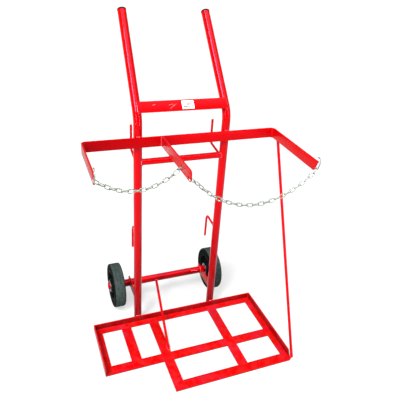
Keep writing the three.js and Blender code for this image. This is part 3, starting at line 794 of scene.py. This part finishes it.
def centre_outline():
    """One side of the wheel centre, from its rim over the web to the hub's bore, then its mirror image."""
    side = [(22.6, 69.7), (23.0, 69.2), (23.0, 64.8), (22.2, 64.0), (9, 61.5), (6.2, 59.6)]
    side += [(5.2, 57), (5.0, 40), (5.6, 37.5), (7.5, 36.2), (24.5, 31.6), (25.6, 30.6)]
    side += [(26, 29.4), (26, 21.6), (25.4, 21.2)]
    return mirrored(side)


for side, outward in (("left", -1), ("right", 1)):
    body = f"{side}_wheel"
    centre = Vector((WHEEL_X[side], AXLE_Y, AXLE_Z))
    Shape().turned(tyre_outline(), centre, sides=112).build(
        f"{side}_tyre_rubber", rubber, [f"{side}_tyre"], body)
    Shape().turned(centre_outline(), centre, sides=96).build(
        f"{side}_wheel_disc", wheel_plastic, [f"{side}_wheel_centre"], body)
    bush = box(-HUB_HALF, HUB_BORE, HUB_HALF, BUSH_RADIUS, 0.6, 2)
    Shape().turned(bush, centre, sides=64).build(
        f"{side}_hub_sleeve", part_zinc, [f"{side}_hub_bush"], body)
    for place, x in (
        ("inner", centre.x - outward * (HUB_HALF + WASHER_HALF + GAP)),
        ("outer", outward * (PIN_X - 4)),
    ):
        washer = box(-WASHER_HALF, HUB_BORE, WASHER_HALF, WASHER_RADIUS, 0.5, 2)
        Shape().turned(washer, (x, AXLE_Y, AXLE_Z), sides=64).build(
            f"{side}_{place}_washer_ring", part_zinc, [f"{side}_{place}_washer"])
    pin = [(0, 0, -24), (0, 0, 20.85), (0, -5, 25.85), (0, 0, 31.85), (0, 5, 25.85), (0, 4, 21.35)]
    pin = [(outward * PIN_X + a, AXLE_Y + b, AXLE_Z + c) for a, b, c in pin]
    Shape().rod(pin, PIN_RADIUS, 2.2, sides=14, steps=8, end=0.4).build(
        f"{side}_split_pin_wire", part_zinc, [f"{side}_split_pin"])

# ---------------- floor platform
def angle_section(top, outer=0.0):
    """An L outline in (inward from the outer face, height), its upstand reaching up to top."""
    corners = [
        (outer, 0), (ANGLE_LEG, 0), (ANGLE_LEG, ANGLE_THICK),
        (max(ANGLE_THICK, outer + 0.6), ANGLE_THICK), (max(ANGLE_THICK, outer + 0.6), top), (outer, top),
    ]
    radii = [0.8, 0.5, 2.2, 2.6, 1.8, 0.7]
    if top < ANGLE_LEG:
        radii = [0.25] * 6
    return rounded(corners, radii, 3)


def build_angle(name, node, stations, place):
    """stations are (distance along, slant, top, outer); slant moves inner points further along."""
    Shape().loft([
        [Vector(place(along + slant * a, a, height)) for a, height in angle_section(top, outer)]
        for along, slant, top, outer in stations
    ]).build(name, flat_paint, [node])


half_bar = BAR / 2
rear = [(-PLATFORM_HALF, 1, ANGLE_LEG, 0), (PLATFORM_HALF, -1, ANGLE_LEG, 0)]
build_angle("rear_angle_bar", "rear_angle", rear, lambda s, inward, z: (s, REAR_Y - inward, z))
left = [(REAR_Y, -1, ANGLE_LEG, 0), (CROSS_Y - half_bar, 0, ANGLE_LEG, 0)]
build_angle("left_angle_bar", "left_side_angle", left, lambda s, inward, z: (-PLATFORM_HALF + inward, s, z))
right = [(REAR_Y, -1, ANGLE_LEG, 0), (UPSTAND_END, 0, ANGLE_LEG, 0)]
right += [(UPSTAND_FOOT, 0, 6.2, 0), (FRONT_Y + CORNER_RADIUS, 0, 5.7, 0)]
for angle in radians((25, 45, 60, 72, 84)):
    along = FRONT_Y + CORNER_RADIUS * (1 - math.sin(angle))
    right.append((along, 0, 5.7, CORNER_RADIUS * (1 - math.cos(angle))))
build_angle("right_angle_bar", "right_side_angle", right, lambda s, inward, z: (PLATFORM_HALF - inward, s, z))

rear_edge = REAR_Y - ANGLE_LEG - GAP
cross_back = CROSS_Y + half_bar
cross_front = CROSS_Y - half_bar
front_back = FRONT_Y + BAR
inner_edge = PLATFORM_HALF - ANGLE_LEG - GAP
(left_low, left_high), (divide_low, divide_high), (right_low, right_high) = (
    (x - half_bar, x + half_bar) for x in BAR_X.values()
)
PLATFORM_BARS = {
    "left_platform_bar": (left_low, cross_front, left_high, rear_edge),
    "divide_platform_bar": (divide_low, FRONT_Y, divide_high, rear_edge),
    "right_platform_bar": (right_low, front_back + GAP, right_high, rear_edge),
    "left_front_bar": (-inner_edge, cross_front, left_low - GAP, cross_back),
    "left_front_bar_inner": (left_high + GAP, cross_front, divide_low - GAP, cross_back),
    "cross_bar_middle": (divide_high + GAP, cross_front, right_low - GAP, cross_back),
    "cross_bar_right": (right_high + GAP, cross_front, inner_edge, cross_back),
    "right_front_bar": (divide_high + GAP, FRONT_Y, inner_edge, front_back),
}
for node, (low_x, low_y, high_x, high_y) in PLATFORM_BARS.items():
    slab(Shape(), (low_x, low_y, 0), (high_x, high_y, FLAT), lambda a, b, c: Vector((a, b, c))).build(
        node + "_flat", flat_paint, [node])

# ---------------- weld beads
weld_random = random.Random(7)
RIPPLE = 3.1                # length of one ripple
BEAD_STEP = 0.95            # distance between a bead's rings


def resampled(points, step):
    """Points at an even step along a polyline."""
    points = [Vector(point) for point in points]
    result = [points[0]]
    left_over = 0.0
    for a, b in zip(points, points[1:]):
        length = (b - a).length
        travelled = step - left_over
        while travelled <= length:
            result.append(a + (b - a) * travelled / length)
            travelled += step
        left_over = length - (travelled - step)
    if (result[-1] - points[-1]).length > step * 0.3:
        result.append(points[-1])
    return result


def bead(shape, points, radius, closed=False, sides=9):
    """A rippled weld bead along a line. A closed one goes round a joint."""
    line = resampled(points, BEAD_STEP)
    if closed and (line[-1] - line[0]).length < 0.6:
        line.pop()
    count = len(line)
    middle = sum(line, Vector()) / count
    phase = weld_random.random() * RIPPLE
    wobble = weld_random.random() * 10
    rings = []
    side = None
    for i, point in enumerate(line):
        before = line[i - 1] if closed or i else point
        after = line[(i + 1) % count] if closed or i < count - 1 else point
        way = (after - before).normalized()
        if closed:
            side = point - middle
        elif side is None:
            side = Z_AXIS.cross(way) if abs(way.z) < 0.9 else X_AXIS.copy()
        side = (side - way * side.dot(way)).normalized()
        other = way.cross(side)
        distance = i * BEAD_STEP
        wave = abs(math.sin(math.pi * (distance + phase) / RIPPLE))
        size = radius * (0.86 + 0.2 * wave + 0.07 * math.sin(distance * 0.7 + wobble))
        if not closed:
            near = min(i, count - 1 - i) * BEAD_STEP
            size *= math.sqrt(max(0.08, 1 - (1 - min(near / radius, 1)) ** 2))
        rings.append([point + side * a + other * b for a, b in circle(size, sides)])
    shape.loft(rings, looped=closed)


def full_circle(radius, count):
    """A circle that ends on its first point."""
    return arc((0, 0), radius, 0, 360, count)


def saddle(origin, way, radius, tube_point, tube_axis, grow=0.4):
    """Where a round rod running along way first meets one of the round tubes."""
    origin = Vector(origin)
    way = Vector(way).normalized()
    across = (tube_axis - way * tube_axis.dot(way)).normalized()
    other = way.cross(across)
    points = []
    for i, j in full_circle(1, 60):
        out = across * i + other * j
        start = origin + out * radius - Vector(tube_point)
        flat_start = start - tube_axis * start.dot(tube_axis)
        flat_way = way - tube_axis * way.dot(tube_axis)
        a = flat_way.dot(flat_way)
        b = 2 * flat_start.dot(flat_way)
        c = flat_start.dot(flat_start) - TUBE_RADIUS ** 2
        inside = max(b * b - 4 * a * c, 0)
        travel = (-b - math.sqrt(inside)) / (2 * a)
        points.append(origin + out * (radius + grow) + way * travel)
    return points


back_welds = Shape()
for sign in (-1, 1):
    x = sign * UPRIGHT_X
    joint = saddle((0, 0, MID_TUBE_HEIGHT), (sign, 0, 0), MID_TUBE_RADIUS, (x, 0, 0), Z_AXIS)
    bead(back_welds, joint, 2.3, closed=True)
    for low, high in ((RAIL_BOTTOM + 1, RAIL_TOP - 1), (2, ANGLE_LEG - 1)):
        for offset in (-7.6, 7.6):
            bead(back_welds, [(x + offset, -15.6, low), (x + offset, -15.6, high)], 2.4)
        over = [
            (x + TUBE_RADIUS * math.sin(a), -(TUBE_RADIUS + 0.4) * math.cos(a) + 0.6, high + 1.4)
            for a in radians(range(-34, 35, 4))
        ]
        bead(back_welds, over, 2.1)
    for up in (-TOP_BAR_HALF - 0.6, TOP_BAR_HALF + 0.6):
        over = [
            on_top_bar(x + TUBE_RADIUS * math.sin(a) * (1 if sign * a < 0 else 0.15), up,
                       -(FLAT / 2 + GAP) + TUBE_RADIUS * (math.cos(a) - 1) + 0.9)
            for a in radians(range(-32, 33, 4))
            if sign * a < 0.25
        ]
        bead(back_welds, over, 2.1)
    end = sign * 176.6
    bead(back_welds, [on_top_bar(end, up, -2.2) for up in (2 - TOP_BAR_HALF, 0, TOP_BAR_HALF - 2)], 2.2)
back_welds.build("welds_on_back_frame", weld_paint_with_highlight)

hook_welds = Shape()
for sign in (-1, 1):
    x = sign * UPRIGHT_X
    leaned = x - sign * HOOK_TURN_IN
    for (_, bend, _), foot_z in zip(HOSE_HOOKS.values(), (765, 424)):
        origin = Vector((leaned, *bend))
        joint = saddle(origin, Vector((x, 5, foot_z)) - origin, HOOK_RADIUS, (x, 0, 0), Z_AXIS, 0.5)
        bead(hook_welds, joint, 1.9, closed=True)
for x, hook in ((LEFT_TIP[0], LEFT_HOOK), (RIGHT_TIP[0], RIGHT_HOOK)):
    y = hook[0][0] + (0.2 if x < 0 else -1.0)
    ring = [(x + 3.0 * a, y, hook[0][1] + 3.4 * b) for a, b in full_circle(1, 24)]
    bead(hook_welds, ring, 1.5, closed=True)
hook_welds.build("welds_on_hooks", weld_paint_with_highlight)

rail_welds = Shape()
rail_front = RAIL_Y - FLAT / 2 - 0.9
for x in (DIVIDER_X - 3.9, DIVIDER_X + 3.9):
    bead(rail_welds, [(x, rail_front, RAIL_BOTTOM + 1), (x, rail_front, RAIL_TOP - 0.5)], 2.0)
brace_x = RAIL_RIGHT + 4.4
low = SIDE_TOP - side_way * 28
for offset in (-5.4, 5.4):
    line = [(brace_x, low.y + offset, low.z), (brace_x, SIDE_TOP.y + offset, SIDE_TOP.z - 1)]
    bead(rail_welds, line, 1.9)
over_top = [
    (brace_x, SIDE_TOP.y + offset, SIDE_TOP.z + 1.2 - abs(offset) * 0.15)
    for offset in (-5, -3, 0, 3, 5)
]
bead(rail_welds, over_top, 1.8)
round_foot = ((0.6, -430, 2.6), (1.4, -428.5, 6.2), (1.8, -423, 8.4), (1.4, -417.5, 6.4), (0.6, -416, 2.6))
bead(rail_welds, [(PLATFORM_HALF + out, y, z) for out, y, z in round_foot], 1.9)
rail_welds.build("welds_on_rail_and_side_brace", weld_paint_with_highlight)

axle_welds = Shape()
for sign in (-1, 1):
    for face in (-3.9, 3.9):
        x = sign * UPRIGHT_X + face
        ring = [(x, AXLE_Y + a, AXLE_Z + b) for a, b in full_circle(17.6, 48)]
        bead(axle_welds, ring, 2.0, closed=True)
        bead(axle_welds, [(x, 16.9, 82.5), (x, 16.9, 120.5)], 2.1)
joint = saddle(CENTRE_FOOT, centre_way, ROD_RADIUS, (0, AXLE_Y, AXLE_Z), X_AXIS, 0.5)
bead(axle_welds, joint, 1.9, closed=True)
across = Vector((centre_way.y, -centre_way.x, 0)).normalized()
other = centre_way.cross(across)
foot_ring = []
for a, b in full_circle(ROD_RADIUS + 0.4, 48):
    point = CENTRE_FOOT + across * a + other * b
    foot_ring.append(point + centre_way * ((FLAT + 0.3 - point.z) / centre_way.z))
bead(axle_welds, foot_ring, 1.8, closed=True)
axle_welds.build("welds_on_axle_and_centre_brace", weld_paint_with_highlight)

floor_welds = Shape()


def floor_bead(start, end, bar_to_bar=False):
    """A bead on the platform, between two bars or else along an angle's inner edge."""
    height, radius = (5.1, 1.8) if bar_to_bar else (4.6, 2.0)
    bead(floor_welds, [(*start, height), (*end, height)], radius)


for x in BAR_X.values():
    floor_bead((x - 20, rear_edge + 0.1), (x + 20, rear_edge + 0.1))
for x in (-inner_edge, inner_edge):
    floor_bead((x, cross_front + 1), (x, cross_back - 1))
for x in BAR_X.values():
    for edge in (x - half_bar, x + half_bar):
        floor_bead((edge, cross_front + 1), (edge, cross_back - 1), True)
floor_bead((divide_high, FRONT_Y + 1.5), (divide_high, front_back - 1), True)
floor_bead((inner_edge, FRONT_Y + 1.5), (inner_edge, front_back - 1))
floor_bead((right_low + 1, front_back), (right_high - 1, front_back), True)
MITRE_WELDS = (             # (inward from the corner, height) of both ends, and the bead's radius
    ((31, 4.6), (7, 4.6), 1.9),
    ((5.2, 6), (5.2, 31), 1.8),
    ((0.9, 2), (0.9, 31), 1.5),
)
for sign in (-1, 1):
    for first, last, radius in MITRE_WELDS:
        line = [(sign * (PLATFORM_HALF - inward), REAR_Y - inward, z) for inward, z in (first, last)]
        bead(floor_welds, line, radius)
floor_welds.build("welds_on_platform", flush_weld_paint_with_faint_highlight)

# ---------------- chains
LINK_WIDTH = 16.0           # outside
LINK_WIRE = 1.9             # wire radius
LEFT_PITCH = 21.0           # inside length, so the distance from one link to the next
RIGHT_PITCH = 20.6
HOOK_TO_LINK = 8.5          # from a wire hook to the middle of the first link on it
chain_random = random.Random(21)


def hanging_points(start, end, length, count):
    """Points on a hanging line of the given length between two points."""
    across = math.hypot(end.x - start.x, end.y - start.y)
    rise = end.z - start.z
    target = math.sqrt(length * length - rise * rise) / across
    low, high = 1e-3, 10.0
    for _ in range(60):
        middle = (low + high) / 2
        if math.sinh(middle) / middle < target:
            low = middle
        else:
            high = middle
    scale = across / (2 * low)
    shift = across / 2 - scale * math.atanh(rise / length)
    points = []
    for i in range(count + 1):
        share = i / count
        drop = scale * (math.cosh((share * across - shift) / scale) - math.cosh(shift / scale))
        point = start.lerp(end, share)
        point.z = start.z + drop
        points.append(point)
    return points


def along_line(points, distance):
    """The point and direction at a distance along a polyline, carried straight on past its ends."""
    travelled = 0.0
    for a, b in zip(points, points[1:]):
        length = (b - a).length
        if travelled + length >= distance or b is points[-1]:
            way = (b - a).normalized()
            return a + way * (distance - travelled), way
        travelled += length
    return None


def add_link(shape, centre, way, width_axis, pitch):
    """One oval link, its length along way and its width along width_axis, with a swelling at its seam."""
    way = way.normalized()
    width_axis = (width_axis - way * width_axis.dot(way)).normalized()
    through = way.cross(width_axis)
    turn_radius = LINK_WIDTH / 2 - LINK_WIRE
    straight = pitch / 2 + LINK_WIRE - turn_radius
    rings = []
    line = []
    for sign in (1, -1):
        for b, a in arc((0, 0), turn_radius, 0, 180, 8):
            line.append((sign * (straight + a), sign * b))
        for share in (0.4, 0.1, 0, -0.1, -0.4):
            line.append((sign * straight * share, -sign * turn_radius))
    count = len(line)
    for i, (a, b) in enumerate(line):
        before = line[i - 1]
        after = line[(i + 1) % count]
        tangent = way * (after[0] - before[0]) + width_axis * (after[1] - before[1])
        tangent.normalize()
        side = through.cross(tangent)
        seam = 1.13 if b > turn_radius - 0.01 and abs(a) < 1.6 else 1.0
        point = centre + way * a + width_axis * b
        rings.append([point + side * u + through * v for u, v in circle(LINK_WIRE * seam, 10)])
    shape.loft(rings, looped=True)


def make_chain(name, node, path, pitch, first_centre, link_count, first_twist, extra_link):
    """Links threaded along a path, each a quarter turn from the last, built as one mesh."""
    shape = Shape()
    for i in range(link_count):
        centre, way = along_line(path, first_centre + i * pitch)
        level = way.cross(Z_AXIS).normalized()
        upright = level.cross(way)
        tilt = math.radians(chain_random.uniform(-9, 9) + (45 if (i + first_twist) % 2 else -45))
        add_link(shape, centre, way, upright * math.cos(tilt) + level * math.sin(tilt), pitch)
    add_link(shape, *(Vector(item) for item in extra_link), pitch)
    piece = shape.build(name, chain_zinc, [node], sharp=60)


LEFT_START = Vector((LEFT_TIP[0], -287, 867))
LEFT_END = Vector((-95.0, SLOT_Y, 862))
LEFT_LINKS = 16
left_length = HOOK_TO_LINK + LEFT_PITCH * (LEFT_LINKS - 1)
left_path = hanging_points(LEFT_START, LEFT_END, left_length, 48)
toggle = LEFT_END + Vector((17.8, 0, -2))    # the crosswise link behind the divider's slot
left_path += [LEFT_END + Vector((11, 0, 2)), toggle + Vector((-2, 0, 3)), toggle + Vector((0, 0, -9))]
make_chain("left_chain_links", "left_chain", left_path, LEFT_PITCH, HOOK_TO_LINK, LEFT_LINKS, 0,
           (toggle + Vector((0, 0, -3)), (0, 0.1, 1), (1, 0, 0)))

HOLE_BAR = Vector((DIVIDER_X - FLAT / 2 - LINK_WIRE - 0.2, HOLE[0] - 9.5, HOLE[1] - 1))
TIP_WAY = Vector((0.86, -0.08, -0.50)).normalized()
RIGHT_SPAN = RIGHT_PITCH + 2 * LINK_WIRE    # between the middles of a link's two ends
RIGHT_START = HOLE_BAR + TIP_WAY * RIGHT_SPAN
RIGHT_END = Vector((RIGHT_TIP[0], -368, 862))
RIGHT_LINKS = 25
right_first = RIGHT_SPAN / 2 - LINK_WIRE * 2
right_length = RIGHT_PITCH * (RIGHT_LINKS - 1) + right_first + HOOK_TO_LINK
right_path = hanging_points(RIGHT_START, RIGHT_END, right_length, 72)
make_chain("right_chain_links", "right_chain", right_path, RIGHT_PITCH, right_first, RIGHT_LINKS, 1,
           (HOLE_BAR + TIP_WAY * RIGHT_SPAN / 2, TIP_WAY, (0, 0.90, 0.42)))

# ---------------- floor and light
def make_floor():
    mesh = bpy.data.meshes.new("floor")
    size = 40.0
    corners = [(-size, -size, 0), (size, -size, 0), (size, size, 0), (-size, size, 0)]
    mesh.from_pydata(corners, [], [(0, 1, 2, 3)])
    floor = bpy.data.objects.new("floor", mesh)
    floor.location.z = -0.0004
    look = bpy.data.materials.new("pale_floor")
    look.use_nodes = True
    shader = look.node_tree.nodes["Principled BSDF"]
    settings = {
        "Base Color": (0.24, 0.24, 0.24, 1),
        "Emission Color": (1, 1, 1, 1),
        "Emission Strength": 0.53,
        "Roughness": 0.9,
        "Specular IOR Level": 0.1,
    }
    for socket, value in settings.items():
        shader.inputs[socket].default_value = value
    mesh.materials.append(look)
    show(floor)


def add_light(data, energy, place, towards):
    """Place a light that shines back along towards."""
    data.energy = energy
    light = bpy.data.objects.new(data.name, data)
    light.location = place
    light.rotation_euler = towards.to_track_quat("Z", "Y").to_euler()
    show(light)


def add_sun(name, azimuth, elevation, spread, strength):
    """Wide soft light from a direction. Azimuth 0 is in front of the trolley, 90 to its right."""
    data = bpy.data.lights.new(name, "SUN")
    data.angle = math.radians(spread)
    turn = math.radians(azimuth)
    rise = math.radians(elevation)
    towards = Vector((
        math.sin(turn) * math.cos(rise),
        -math.cos(turn) * math.cos(rise),
        math.sin(rise),
    ))
    add_light(data, strength, towards * 3, towards)


def add_strip(name, place, width, height, watts):
    """A narrow upright softbox that faces the trolley and draws thin glints on its tubes."""
    data = bpy.data.lights.new(name, "AREA")
    data.shape = "RECTANGLE"
    data.size = width
    data.size_y = height
    add_light(data, watts, place, Vector((place[0], place[1], 0)).normalized())


make_floor()
add_sun("key_light", -56, 50, 24, 5.8)
add_sun("top_light", 30, 76, 48, 2.6)
add_strip("left_strip_light", (-2.3, -1.9, 1.5), 0.18, 2.6, 95)
add_strip("right_strip_light", (1.7, -2.6, 1.6), 0.16, 2.6, 75)
world = bpy.data.worlds.new("soft_studio")
world.use_nodes = True
background = world.node_tree.nodes["Background"]
background.inputs["Color"].default_value = (1, 1, 1, 1)
background.inputs["Strength"].default_value = 0.24
bpy.context.scene.world = world
bpy.context.scene.view_settings.view_transform = "Standard"
